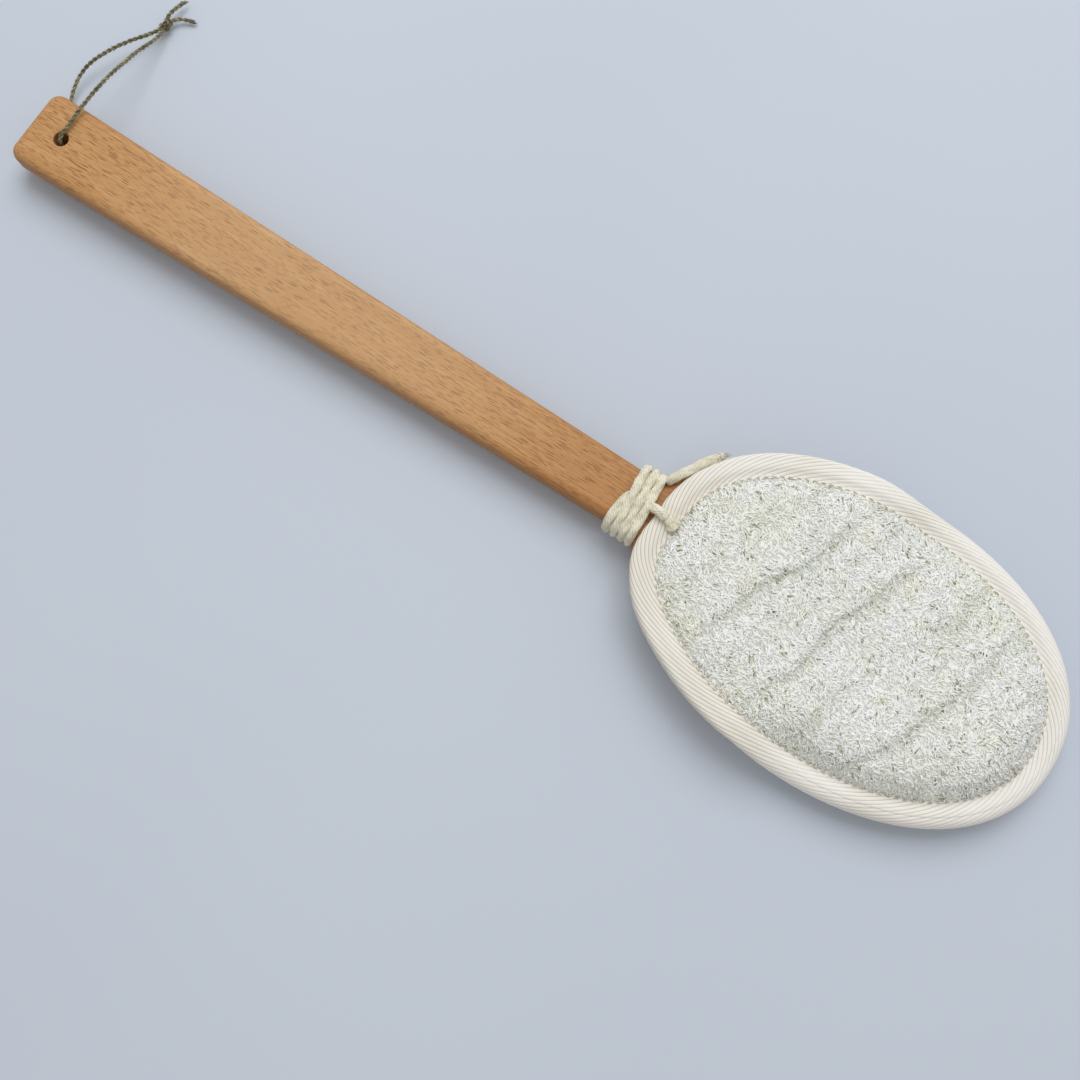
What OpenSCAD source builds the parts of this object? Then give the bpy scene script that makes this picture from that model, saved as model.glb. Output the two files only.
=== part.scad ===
// Loofah back scrubber.
// A flat beech handle widens into an oval paddle, and a slip-on pad covers the paddle.
// The pad is a loofah panel and a cotton terry panel, bound together with twill tape.
// A cotton tie holds the pad's mouth to the neck, and a twine loop hangs the handle up.
// +X runs from the butt to the pad's far end and +Z is the loofah side.
// The origin is at the middle of the length and width, on the surface that the pad lies on.

/* [Handle] */
// Length from the butt to the pad's mouth
handle_l = 266; // [200:1:340]
// Width of the handle at the butt
butt_w = 29.2; // [22:0.2:36]
// Width of the handle at the neck
neck_w = 20.8; // [16:0.2:26]
// Thickness of the board
board_t = 11; // [9:0.5:14]
// Radius of the board's softened edges
edge_r = 3.2; // [2:0.1:4]
// Radius of the butt's corners in plan
corner_r = 4.5; // [4:0.1:8]
// Diameter of the hanging hole
hole_d = 5.5; // [4:0.1:7]
// Distance from the butt to the middle of the hanging hole
hole_inset = 14; // [10:0.5:24]

/* [Paddle] */
// Radius of the paddle's two ends in plan
paddle_end_r = 29; // [22:0.5:32]
// Radius between the neck and the paddle's shoulder
shoulder_r = 2; // [1:0.5:3]
// How far the shoulders start outside the pad's mouth
shoulder_show = 4.2; // [2:0.1:6]
// Space between the paddle and the tape, at the sides
side_space = 2.5; // [1.5:0.1:4]
// Space between the paddle and the tape, at the far end
far_space = 3; // [1:0.5:6]

/* [Pad] */
// Length of the pad over its binding
pad_l = 155; // [120:1:190]
// Width of the pad over its binding
pad_w = 105; // [84:1:126]
// Fullness of the pad's oval, where 2 is a plain ellipse
fullness = 2.15; // [2:0.05:2.5]
// Thickness of the loofah panel over the paddle
loofah_t = 6; // [4:0.5:9]
// Thickness of the terry panel under the paddle
terry_t = 3.2; // [2.5:0.1:5]
// Width of the binding seen on either face
tape_w = 9; // [7:0.5:12]
// Thickness of the twill tape
tape_t = 0.7; // [0.5:0.1:1]
// Height of the rim where both panels are bound together
rim_h = 7.6; // [6.5:0.1:9]
// Height of each panel's own bound edge at the mouth
lip_h = 3.2; // [2.8:0.1:4]
// Thickness of the stitching thread
thread_d = 0.5; // [0.4:0.1:0.8]
// Space between soft parts and the board
gap = 0.3; // [0.2:0.05:0.6]

/* [Hanging twine] */
// Diameter of the twine
twine_d = 1.5; // [1.2:0.1:2]
// Diameter of the overhand knot
twine_knot_d = 5; // [4:0.1:6]

/* [Tie] */
// Diameter of the tie cord
tie_d = 3; // [2.4:0.1:3.1]
// Turns round the neck
tie_turns = 3; // [2:1:4]
// Width that each turn takes up
turn_pitch = 3.4; // [3:0.1:4]
// Radius of the stopper knot
tie_knot_r = 3; // [2.5:0.1:4]
// Half the height of the stopper knot
tie_knot_h = 1.7; // [1.4:0.1:2.2]

/* [Hidden] */
$fn = 48;

// Places along the scrubber
butt_x = -(handle_l + pad_l) / 2;
mouth_x = butt_x + handle_l;
pad_x = mouth_x + pad_l / 2;
hole_x = butt_x + hole_inset;

// Levels
board_z0 = terry_t + gap;
board_z1 = board_z0 + board_t;
board_mid = (board_z0 + board_z1) / 2;
loofah_z0 = board_z1 + gap;
loofah_z1 = loofah_z0 + loofah_t;
rim_z0 = board_mid - rim_h / 2;

// Paddle, a four-arc oval that fits inside the binding
paddle_w = pad_w - 2 * (tape_w + side_space);
paddle_x0 = mouth_x - shoulder_show;
paddle_x1 = mouth_x + pad_l - tape_w - far_space;
paddle_a = (paddle_x1 - paddle_x0) / 2;
paddle_b = paddle_w / 2;
paddle_x = (paddle_x0 + paddle_x1) / 2;
end_offset = paddle_a - paddle_end_r;
side_spare = paddle_b - paddle_end_r;
side_drop = (end_offset * end_offset - side_spare * side_spare) / (2 * side_spare);
side_r = side_drop + paddle_b;
join_angle = atan2(side_drop, end_offset);

// Where the neck's straight side meets the shoulder's fillet, and the fillet's end
fillet_y = neck_w / 2 + shoulder_r;
fillet_x = paddle_x - end_offset - sqrt(pow(paddle_end_r + shoulder_r, 2) - fillet_y * fillet_y);
fillet_end = atan2(fillet_y, fillet_x - (paddle_x - end_offset));

// The pad's seam is open from its mouth to here, measured round the oval from the far end
join_start = 84;
join_end = 105;
lip_angle = 110;
stations = 72;
step = 360 / stations;
// The folded tape: its rounded nose, its inside face, and the row of stitches from its inner edge
nose_run = 2.2;
nose_in = 0.5;
nose_drop = 0.8;
fold_in = 2.8;
stitch_in = 1.2;
// How far the panels' edges sit inside the folded tape, and where they thicken
edge_in = 3.4;
fold_slack = 0.1;
seam_half = 0.1;
flap_in = tape_w + 0.2;
panel_in = tape_w + 0.5;
slope_in = tape_w + side_space + 0.2;
// The loofah panel's crown
panel_rise = 0.5;
crown_in = 15;
top_in = 24;
crown_drop = 2.2;
mouth_drop = 1;
// Trim of the paddle's side arc beside its end arcs, in degrees, and the drill's run past the board
side_trim = 4;
drill_over = 1;
edge_step = 22.5;

// Twine: x and y from the middle of the hanging hole, z from the surface
loop_route = [
    [-2.2, 60, 3.2], [-1.4, 57, 4.0], [-1.0, 53, 5.4], [-1.0, 49, 7.2], [-0.8, 45, 9.2], [-0.3, 41, 11.2],
    [0.2, 37, 13.0], [0.5, 32.5, 14.8], [0.6, 28, 16.0], [0.6, 23, 16.7], [0.5, 18, 16.9], [0.3, 13, 16.7],
    [0.2, 8, 16.3], [0.1, 4.5, 16.0], [0, 1.8, 15.7], [0, 0, 15.1], [0, -1.0, 13.8], [0.1, -1.2, 12],
    [0.4, -1.1, 9], [0.8, -0.9, 6], [0.7, -0.7, 4.3], [0, 0.1, 2.8], [-1.2, 1.4, 2.1],
    [-3.6, 4.1, 1.9], [-7.5, 8.6, 1.8], [-11.5, 13, 1.8], [-14.6, 17.5, 2.1], [-16, 22, 3.0],
    [-16.4, 27, 4.2], [-15.6, 32, 5.3], [-13.6, 37, 6.0], [-11.0, 42.5, 6.1], [-8.2, 48, 5.5],
    [-5.5, 53, 4.5], [-3.8, 57, 3.5], [-3.2, 60, 3.0]];
knot_place = [-2.6, 61.5, 2.9];
tail_long_route = [[-3.2, 63, 3.4], [-3.6, 65, 3.6], [-3.4, 68, 3.4], [-3.0, 70.5, 3.0], [-2.4, 72.6, 2.6]];
tail_short_route = [[-2.2, 63, 2.6], [-1.4, 65, 2.4], [0.2, 66.8, 2.0], [2.0, 67.8, 1.5], [4.0, 68.4, 1.1]];

// Tie: x from the pad's mouth, y, and z from the board's upper face
lead_route = [[-3.5, 0.4, 2.5], [-2, 0.2, 3.7], [0, 0, 4.7], [2, -0.3, 5.2], [3.2, -0.7, 5.3]];
tie_knot_place = [6.6, -1.4, 4.9];
tail_route = [[-3.2, 9.0, 1.9], [-1.4, 12.6, 2.0], [0.8, 16.6, 2.0], [3, 20.4, 1.7], [5.6, 24.4, 1.2],
              [8.6, 28.2, 0.7]];
winding_l = tie_turns * turn_pitch;
winding_end = -3.4;
winding_gap = 0.2;
// Room in the winding for the neck's taper
taper_room = 0.4;

function unit(v) = v / norm(v);
function arc(cx, cy, r, a0, a1, n) =
    [for (i = [0:n]) let (a = a0 + (a1 - a0) * i / n) [cx + r * cos(a), cy + r * sin(a)]];
function ease(f) = let (c = min(1, max(0, f))) c * c * (3 - 2 * c);
function mix(a, b, f) = a + (b - a) * f;

// Joins rings of points into one closed solid. An end ring that isn't convex is closed by its tiles.
module skin(rings, looped = false, tiles = []) {
    n = len(rings);
    m = len(rings[0]);
    last = looped ? n - 1 : n - 2;
    sides = [for (i = [0:last], j = [0:m - 1])
        let (a = i * m, b = ((i + 1) % n) * m, k = (j + 1) % m)
        each [[a + j, a + k, b + k], [a + j, b + k, b + j]]];
    ends = looped ? [] : len(tiles) > 0 ? tiles : [[for (j = [0:m - 1]) j]];
    near_end = [for (e = ends) [for (i = [len(e) - 1:-1:0]) e[i]]];
    far_end = [for (e = ends) [for (j = e) (n - 1) * m + j]];
    polyhedron(points = [for (r = rings) each r], faces = concat(sides, near_end, far_end), convexity = 10);
}

// A round tube along a route, with a ring at each point and one midway
function between(p, i) =
    let (a = p[max(0, i - 1)], b = p[i], c = p[i + 1], d = p[min(len(p) - 1, i + 2)]) (9 * (b + c) - a - d) / 16;
function finer(p) = [for (i = [0:len(p) - 1]) each (i < len(p) - 1 ? [p[i], between(p, i)] : [p[i]])];
function heading(p, i) = unit(p[min(len(p) - 1, i + 1)] - p[max(0, i - 1)]);
module tube(route, d, side, sides = 8) {
    p = finer(route);
    skin([for (i = [0:len(p) - 1])
        let (t = heading(p, i), u = unit(cross(t, side)), v = cross(t, u))
        [for (j = [0:sides - 1]) let (a = 360 * j / sides) p[i] + d / 2 * (cos(a) * u - sin(a) * v)]]);
}

// The pad's outline at an angle round the oval, and the same inset towards the middle
function oval(t) = let (c = cos(t), s = sin(t), e = 2 / fullness)
    [pad_x + pad_l / 2 * sign(c) * pow(abs(c), e), pad_w / 2 * sign(s) * pow(abs(s), e)];
function inward(t) = let (d = oval(t + 1) - oval(t - 1)) unit([-d[1], d[0]]);
function inset_point(t, d, z) = let (p = oval(t) + inward(t) * d) [p[0], p[1], z];

// 0 where both panels share one rim, 1 where the seam is open at the mouth
function opening(t) = let (u = abs(t > 180 ? 360 - t : t)) ease((u - join_start) / (join_end - join_start));
function front_z0(t) = mix(rim_z0, loofah_z0, opening(t));
function front_z1(t) = mix(rim_z0 + rim_h, loofah_z0 + lip_h, opening(t));
function back_z0(t) = mix(rim_z0, thread_d, opening(t));

// A tape folded over an edge, as a C that opens inwards
function fold(t, z0, z1) = [
    inset_point(t, tape_w, z1), inset_point(t, nose_run, z1), inset_point(t, nose_in, z1 - nose_drop),
    inset_point(t, 0, (z0 + z1) / 2), inset_point(t, nose_in, z0 + nose_drop), inset_point(t, nose_run, z0),
    inset_point(t, tape_w, z0), inset_point(t, tape_w, z0 + tape_t), inset_point(t, fold_in, z0 + tape_t),
    inset_point(t, fold_in, z1 - tape_t), inset_point(t, tape_w, z1 - tape_t)];

FOLD_TILES = [[0, 1, 9, 10], [1, 2, 9], [2, 3, 9], [3, 8, 9], [3, 4, 8], [4, 5, 8], [5, 6, 7, 8]];

// Half of the board's outline, from the butt to the paddle's far end
function half_board() = concat(
    arc(butt_x + corner_r, butt_w / 2 - corner_r, corner_r, 180, 90, 5),
    arc(fillet_x, fillet_y, shoulder_r, -90, fillet_end - 180, 3),
    arc(paddle_x - end_offset, 0, paddle_end_r, fillet_end, 180 - join_angle, 6),
    arc(paddle_x, -side_drop, side_r, 180 - join_angle - side_trim, join_angle + side_trim, 9),
    arc(paddle_x + end_offset, 0, paddle_end_r, join_angle, 0, 8));
function board_outline() = let (h = half_board(), n = len(h))
    concat(h, [for (i = [n - 2:-1:0]) [h[i][0], -h[i][1]]]);

module handle() color("#c9965f") difference() {
    outline = board_outline();
    n = len(outline);
    out = [for (i = [0:n - 1]) let (d = outline[(i + 1) % n] - outline[(i + n - 1) % n]) unit([-d[1], d[0]])];
    half = (n + 1) / 2;
    strips = [for (i = [0:half - 2]) i < half - 2 ? [i, i + 1, n - 2 - i, n - 1 - i] : [i, i + 1, i + 2]];
    lower = [for (a = [0:edge_step:90]) [edge_r * (1 - sin(a)), board_z0 + edge_r * (1 - cos(a))]];
    upper = [for (a = [90:-edge_step:0]) [edge_r * (1 - sin(a)), board_z1 - edge_r * (1 - cos(a))]];
    skin([for (l = concat(lower, upper)) [for (i = [n - 1:-1:0])
        let (p = outline[i] - out[i] * l[0]) [p[0], p[1], l[1]]]], tiles = strips);
    translate([hole_x, 0, board_z0 - drill_over]) cylinder(d = hole_d, h = board_t + 2 * drill_over);
}

module hanging_loop() color("#6d6f55") translate([hole_x, 0, 0]) tube(loop_route, twine_d, [1, 0, 0]);

module hanging_knot() color("#6d6f55")
    translate([hole_x, 0, 0]) translate(knot_place) sphere(d = twine_knot_d);

module twine_tail_long() color("#6d6f55")
    translate([hole_x, 0, 0]) tube(tail_long_route, twine_d, [0, 0, 1]);

module twine_tail_short() color("#6d6f55")
    translate([hole_x, 0, 0]) tube(tail_short_route, twine_d, [0, 0, 1]);

// The terry panel lies flat under the paddle and rises to the shared rim round the far part.
// Its edge lies in the folded tape, and is bare where the seam opens.
function terry_edge(t) = let (u = abs(t > 180 ? 360 - t : t))
    (u > join_start - step && u < lip_angle) ? flap_in - fold_slack : edge_in;
function terry_flap_z0(t) = back_z0(t) + tape_t + fold_slack;
function terry_flap_z1(t) = mix(board_mid - seam_half, terry_t - tape_t - fold_slack, opening(t));
module back_panel() color("#efeadc") {
    angles = [for (i = [0:stations - 1]) i * step];
    skin([
        [for (t = angles) inset_point(t, crown_in, 0)],
        [for (t = angles) inset_point(t, panel_in, mix(rim_z0 + tape_t, 0, opening(t)))],
        [for (t = angles) inset_point(t, flap_in, terry_flap_z0(t))],
        [for (t = angles) inset_point(t, terry_edge(t), terry_flap_z0(t))],
        [for (t = angles) inset_point(t, terry_edge(t), terry_flap_z1(t))],
        [for (t = angles) inset_point(t, flap_in, terry_flap_z1(t))],
        [for (t = angles) inset_point(t, panel_in, mix(board_mid - seam_half, terry_t, opening(t)))],
        [for (t = angles) inset_point(t, slope_in, terry_t)]]);
}

// The loofah panel is arched over the paddle, and its edge lies in the folded tape all round
function loofah_flap_z0(t) = mix(board_mid + seam_half, loofah_z0 + tape_t + fold_slack, opening(t));
function loofah_flap_z1(t) = front_z1(t) - tape_t - fold_slack;
module loofah_panel() color("#dfe3d2") {
    angles = [for (i = [0:stations - 1]) i * step];
    skin([
        [for (t = angles) inset_point(t, slope_in, loofah_z0)],
        [for (t = angles) inset_point(t, panel_in, mix(board_mid + seam_half, loofah_z0, opening(t)))],
        [for (t = angles) inset_point(t, flap_in, loofah_flap_z0(t))],
        [for (t = angles) inset_point(t, edge_in, loofah_flap_z0(t))],
        [for (t = angles) inset_point(t, edge_in, loofah_flap_z1(t))],
        [for (t = angles) inset_point(t, flap_in, loofah_flap_z1(t))],
        [for (t = angles) inset_point(t, panel_in, front_z1(t) + panel_rise)],
        [for (t = angles) inset_point(t, crown_in, loofah_z1 - mix(crown_drop, mouth_drop, opening(t)))],
        [for (t = angles) inset_point(t, top_in, loofah_z1)]]);
}

module edge_binding() color("#f1eee6")
    skin([for (i = [0:stations - 1]) fold(i * step, front_z0(i * step), front_z1(i * step))], looped = true);

module mouth_binding() color("#f1eee6")
    skin([for (t = [lip_angle:step:360 - lip_angle]) fold(t, thread_d, terry_t)], tiles = FOLD_TILES);

// One row of stitches, as a thin ring of thread near the tape's inner edge
function thread_ring(t, z) = [for (a = [0:60:300])
    inset_point(t, tape_w - stitch_in + thread_d / 2 * cos(a), z + thread_d / 2 * sin(a))];
module front_stitching() color("#b9b695")
    skin([for (t = [0:step:359]) thread_ring(t, front_z1(t) + thread_d / 2)], looped = true);
module back_stitching() color("#b9b695")
    skin([for (t = [0:step:359]) thread_ring(t, back_z0(t) - thread_d / 2)], looped = true);

module tie_knot() color("#dcd9c0") translate([mouth_x, 0, board_z1]) translate(tie_knot_place)
    rotate_extrude() polygon([for (a = [-90:15:90]) [tie_knot_r * cos(a), tie_knot_h * sin(a)]]);

module tie_lead() color("#dcd9c0") translate([mouth_x, 0, board_z1]) tube(lead_route, tie_d, [0, 0, 1]);

// A rounded rectangle made of true arcs
module rounded(w, h, r) {
    square([w - 2 * r, h], center = true);
    square([w, h - 2 * r], center = true);
    for (x = [-1, 1], y = [-1, 1]) translate([x * (w / 2 - r), y * (h / 2 - r)]) circle(r);
}
module tie_winding() color("#dcd9c0") {
    slot_w = neck_w + 2 * winding_gap + taper_room;
    slot_h = board_t + 2 * winding_gap;
    translate([mouth_x + winding_end - winding_l, 0, board_mid]) rotate([90, 0, 90]) linear_extrude(winding_l)
        difference() {
            rounded(slot_w + 2 * tie_d, slot_h + 2 * tie_d, edge_r + winding_gap + tie_d);
            rounded(slot_w, slot_h, edge_r + winding_gap);
        }
}

module tie_tail() color("#e3dcc0") translate([mouth_x, 0, board_z1]) tube(tail_route, tie_d, [0, 0, 1]);

handle();
hanging_loop();
hanging_knot();
twine_tail_long();
twine_tail_short();
back_panel();
loofah_panel();
edge_binding();
mouth_binding();
front_stitching();
back_stitching();
tie_knot();
tie_lead();
tie_winding();
tie_tail();
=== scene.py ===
import math

import bpy
import numpy as np
from mathutils import Matrix, Vector


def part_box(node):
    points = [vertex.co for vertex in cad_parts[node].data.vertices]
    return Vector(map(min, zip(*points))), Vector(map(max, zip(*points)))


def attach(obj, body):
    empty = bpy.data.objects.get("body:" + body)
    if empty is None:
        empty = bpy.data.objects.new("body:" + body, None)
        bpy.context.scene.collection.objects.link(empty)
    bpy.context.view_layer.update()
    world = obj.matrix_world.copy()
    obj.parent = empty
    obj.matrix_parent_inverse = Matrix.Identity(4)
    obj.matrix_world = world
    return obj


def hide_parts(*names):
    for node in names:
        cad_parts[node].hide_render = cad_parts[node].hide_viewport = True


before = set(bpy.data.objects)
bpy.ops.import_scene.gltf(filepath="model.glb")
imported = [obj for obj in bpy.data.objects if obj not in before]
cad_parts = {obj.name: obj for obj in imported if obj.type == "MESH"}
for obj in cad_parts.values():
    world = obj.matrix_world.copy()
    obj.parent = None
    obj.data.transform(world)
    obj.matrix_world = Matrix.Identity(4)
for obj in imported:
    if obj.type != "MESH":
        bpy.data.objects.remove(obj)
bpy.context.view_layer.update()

# ---- Board ----------------------------------------------------------------------------------------
# One piece of steamed beech, sawn to a tapering handle with an oval paddle on its end.
# Its edges are rounded over, the hanging hole is drilled through, and it is sanded and left bare.
MM = 0.001
board_lo, board_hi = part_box("handle")
rim_lo, rim_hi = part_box("edge_binding")
butt_w = 29.2 * MM
neck_w = 20.8 * MM
corner_r = 4.5 * MM
edge_r = 3.2 * MM
shoulder_r = 2 * MM
shoulder_show = 4.2 * MM
paddle_end_r = 29 * MM
hole_d = 5.5 * MM
hole_inset = 14 * MM
hole_rim = 0.35 * MM
same_place = 1e-6
board_mid = (board_lo.z + board_hi.z) / 2
board_t = board_hi.z - board_lo.z
hole_x = board_lo.x + hole_inset
mouth_x = rim_lo.x

paddle_x0 = mouth_x - shoulder_show
paddle_a = (board_hi.x - paddle_x0) / 2
paddle_b = board_hi.y
paddle_x = (board_hi.x + paddle_x0) / 2
end_offset = paddle_a - paddle_end_r
side_spare = paddle_b - paddle_end_r
side_drop = (end_offset ** 2 - side_spare ** 2) / (2 * side_spare)
side_r = side_drop + paddle_b
join_angle = math.degrees(math.atan2(side_drop, end_offset))
fillet_y = neck_w / 2 + shoulder_r
fillet_x = paddle_x - end_offset - math.sqrt((paddle_end_r + shoulder_r) ** 2 - fillet_y ** 2)
fillet_end = math.degrees(math.atan2(fillet_y, fillet_x - (paddle_x - end_offset)))


def arc(cx, cy, r, start, end, steps):
    """Points of an arc, from one angle to another, in degrees."""
    turns = np.radians(np.linspace(start, end, steps + 1))
    return [(cx + r * math.cos(a), cy + r * math.sin(a)) for a in turns]


# One side of the board, from the butt to the paddle's tip: corner, shoulder, near end, long side, far end
half_outline = (arc(board_lo.x + corner_r, butt_w / 2 - corner_r, corner_r, 180, 90, steps=10)
                + arc(fillet_x, fillet_y, shoulder_r, -90, fillet_end - 180, steps=6)
                + arc(paddle_x - end_offset, 0, paddle_end_r, fillet_end, 180 - join_angle, steps=14)[1:]
                + arc(paddle_x, -side_drop, side_r, 180 - join_angle, join_angle, steps=20)[1:]
                + arc(paddle_x + end_offset, 0, paddle_end_r, join_angle, 0, steps=20)[1:])


def deselect():
    """Leaves edit mode and selects nothing."""
    if bpy.context.object and bpy.context.object.mode == "EDIT":
        bpy.ops.object.mode_set(mode="OBJECT")
    bpy.ops.object.select_all(action="DESELECT")


def apply_modifier(piece, kind, **settings):
    """Adds one modifier to a piece, sets it and applies it."""
    deselect()
    piece.select_set(True)
    bpy.context.view_layer.objects.active = piece
    bpy.ops.object.modifier_add(type=kind)
    modifier = piece.modifiers[-1]
    for setting, value in settings.items():
        setattr(modifier, setting, value)
    bpy.ops.object.modifier_apply(modifier=modifier.name)


def select_edges(piece, wanted):
    """Selects, in edit mode, a piece's edges whose two ends wanted(start, end) accepts."""
    bpy.ops.mesh.select_mode(type="EDGE")
    bpy.ops.mesh.select_all(action="DESELECT")
    bpy.ops.object.mode_set(mode="OBJECT")
    points = [vertex.co for vertex in piece.data.vertices]
    marks = [wanted(*(points[k] for k in edge.vertices)) for edge in piece.data.edges]
    piece.data.edges.foreach_set("select", marks)
    bpy.ops.object.mode_set(mode="EDIT")


def level(start, end):
    """Whether an edge lies level, as those round the board's two faces do."""
    return abs(start.z - end.z) < same_place


def on_hole_rim(start, end):
    """Whether an edge lies on the rim of the hanging hole."""
    radii = [math.hypot(p.x - hole_x, p.y) for p in (start, end)]
    return level(start, end) and all(abs(r - hole_d / 2) < 10 * same_place for r in radii)


deselect()
bpy.ops.mesh.primitive_plane_add(size=1, location=(board_lo.x, 0, board_mid), rotation=(0, -math.pi / 2, 0))
board = bpy.context.object
board.name = "beech_board"
bpy.ops.object.transform_apply()
bpy.ops.object.mode_set(mode="EDIT")
bpy.ops.mesh.select_all(action="SELECT")
start_x, start_y = half_outline[0]
bpy.ops.transform.resize(value=(1, 2 * start_y, board_t), center_override=(start_x, 0, board_mid))
for (x0, y0), (x1, y1) in zip(half_outline, half_outline[1:]):
    bpy.ops.mesh.extrude_region_move(TRANSFORM_OT_translate={"value": (x1 - x0, 0, 0)})
    bpy.ops.transform.resize(value=(1, max(y1, 0) / y0, 1), center_override=(x1, 0, board_mid))
bpy.ops.mesh.select_all(action="SELECT")
bpy.ops.mesh.remove_doubles(threshold=same_place)
bpy.ops.mesh.normals_make_consistent(inside=False)
bpy.ops.mesh.dissolve_limited(angle_limit=math.radians(0.3))
select_edges(board, level)
bpy.ops.mesh.bevel(offset=edge_r, segments=8, profile=0.5, clamp_overlap=False)
bpy.ops.object.mode_set(mode="OBJECT")

deselect()
bpy.ops.mesh.primitive_cylinder_add(vertices=48, radius=hole_d / 2, depth=2 * board_t,
                                    location=(hole_x, 0, board_mid))
drill = bpy.context.object
apply_modifier(board, "BOOLEAN", object=drill, operation="DIFFERENCE", solver="EXACT")
bpy.data.objects.remove(drill)
bpy.ops.object.mode_set(mode="EDIT")
select_edges(board, on_hole_rim)
bpy.ops.mesh.bevel(offset=hole_rim, segments=4, profile=0.5, clamp_overlap=False)
bpy.ops.object.mode_set(mode="OBJECT")
bpy.ops.object.shade_smooth_by_angle(angle=math.radians(35))
apply_modifier(board, "WEIGHTED_NORMAL", keep_sharp=True, weight=80)


def linear(red, green, blue):
    """A colour given from 0 to 255 on screen, as light."""
    parts = [c / 255 for c in (red, green, blue)]
    return [c / 12.92 if c <= 0.04045 else ((c + 0.055) / 1.055) ** 2.4 for c in parts]


def new_material(name, colour, roughness, **sockets):
    """A material with one shader, whose plain values are set on the shader's own sockets."""
    material = bpy.data.materials.new(name)
    material.use_nodes = True
    shader = material.node_tree.nodes["Principled BSDF"]
    shader.inputs["Base Color"].default_value = (*linear(*colour), 1)
    shader.inputs["Roughness"].default_value = roughness
    for socket, value in sockets.items():
        shader.inputs[socket.replace("_", " ")].default_value = value
    return material


def node(material, kind, wires=None, values=None, **settings):
    """Adds a node: wires join its inputs to other nodes' outputs, values fill in the rest."""
    tree = material.node_tree
    made = tree.nodes.new("ShaderNode" + kind)
    for setting, value in settings.items():
        setattr(made, setting, value)
    for socket, value in (values or {}).items():
        made.inputs[socket].default_value = value
    for socket, source in (wires or {}).items():
        tree.links.new(source, made.inputs[socket])
    return made


def ramp(material, source, stops):
    """A colour ramp from (place, colour) stops."""
    made = node(material, "ValToRGB", wires={"Fac": source})
    elements = made.color_ramp.elements
    while len(elements) < len(stops):
        elements.new(0.5)
    for element, (place, colour) in zip(elements, stops):
        element.position = place
        element.color = (*linear(*colour), 1)
    return made.outputs["Color"]


def band(material, source, low, high):
    """0 below low, 1 above high, and a smooth step between."""
    made = node(material, "MapRange", wires={"Value": source}, values={"From Min": low, "From Max": high},
                interpolation_type="SMOOTHSTEP")
    return made.outputs["Result"]


def blend_colours(material, share, below, above, how="MIX"):
    """One colour over another by a share; each colour is an output or a screen colour."""
    made = node(material, "Mix", data_type="RGBA", blend_type=how)
    for socket, value in ((0, share), (6, below), (7, above)):
        if isinstance(value, bpy.types.NodeSocket):
            material.node_tree.links.new(value, made.inputs[socket])
        elif socket == 0:
            made.inputs[socket].default_value = value
        else:
            made.inputs[socket].default_value = (*linear(*value), 1)
    return made.outputs[2]


def maths(material, operation, first, second=0):
    """One sum on one or two outputs or numbers."""
    made = node(material, "Math", operation=operation)
    for socket, value in enumerate((first, second)):
        if isinstance(value, bpy.types.NodeSocket):
            material.node_tree.links.new(value, made.inputs[socket])
        else:
            made.inputs[socket].default_value = value
    return made.outputs[0]


def finish_material(material, colour, bump=None, depth=0.2 * MM, strength=1.0):
    """Joins a colour, and a bump with its depth, to the material's shader."""
    shader = material.node_tree.nodes["Principled BSDF"]
    material.node_tree.links.new(colour, shader.inputs["Base Color"])
    if bump is not None:
        raised = node(material, "Bump", wires={"Height": bump},
                      values={"Distance": depth, "Strength": strength})
        material.node_tree.links.new(raised.outputs["Normal"], shader.inputs["Normal"])
    return material


# Beech: straight grain along the handle, slightly tilted, with short dark flecks that taper at both ends
beech = new_material("bare_beech", (200, 150, 102), 0.5, Specular_IOR_Level=0.3)
place = node(beech, "TexCoord").outputs["Object"]
grain_tilt = math.radians(-5)


def along_grain(across, along):
    """Places on the board, scaled so that a pattern's features have a size in mm across and along it."""
    sized = node(beech, "Mapping", wires={"Vector": place}, values={
        "Rotation": (0, 0, -grain_tilt), "Scale": (1 / (along * MM), 1 / (across * MM), 1 / (across * MM))})
    return sized.outputs["Vector"]


def grain(across, along, detail=3):
    """Noise drawn out along the grain."""
    made = node(beech, "TexNoise", wires={"Vector": along_grain(across, along)},
                values={"Scale": 1, "Detail": detail, "Roughness": 0.55})
    return made.outputs["Fac"]


def flecks(across, along, low, high, share):
    """Spindle-shaped flecks, one in a share of the cells of a pattern drawn out along the grain."""
    cells = node(beech, "TexVoronoi", wires={"Vector": along_grain(across, along)}, values={"Scale": 1})
    lot = node(beech, "SeparateColor", wires={"Color": cells.outputs["Color"]}).outputs["Red"]
    chosen = band(beech, lot, 1 - share, 1.05 - share)
    shape = band(beech, cells.outputs["Distance"], high, low)
    return maths(beech, "MULTIPLY", shape, chosen)


growth = ramp(beech, grain(7, 160, detail=2),
              [(0.3, (208, 163, 108)), (0.5, (200, 153, 98)), (0.7, (189, 139, 84))])
streaks = blend_colours(beech, band(beech, grain(0.5, 22), 0.42, 0.7), growth, (180, 126, 78))
fine_grain = blend_colours(beech, band(beech, grain(0.22, 5), 0.45, 0.75), streaks, (172, 120, 74))
long_flecks = flecks(0.55, 9, 0.17, 0.3, 0.85)
short_flecks = flecks(0.36, 5, 0.17, 0.32, 0.75)
all_flecks = maths(beech, "MAXIMUM", long_flecks, short_flecks)
flecked = blend_colours(beech, maths(beech, "MULTIPLY", all_flecks, 0.75), fine_grain, (112, 62, 30))

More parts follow.
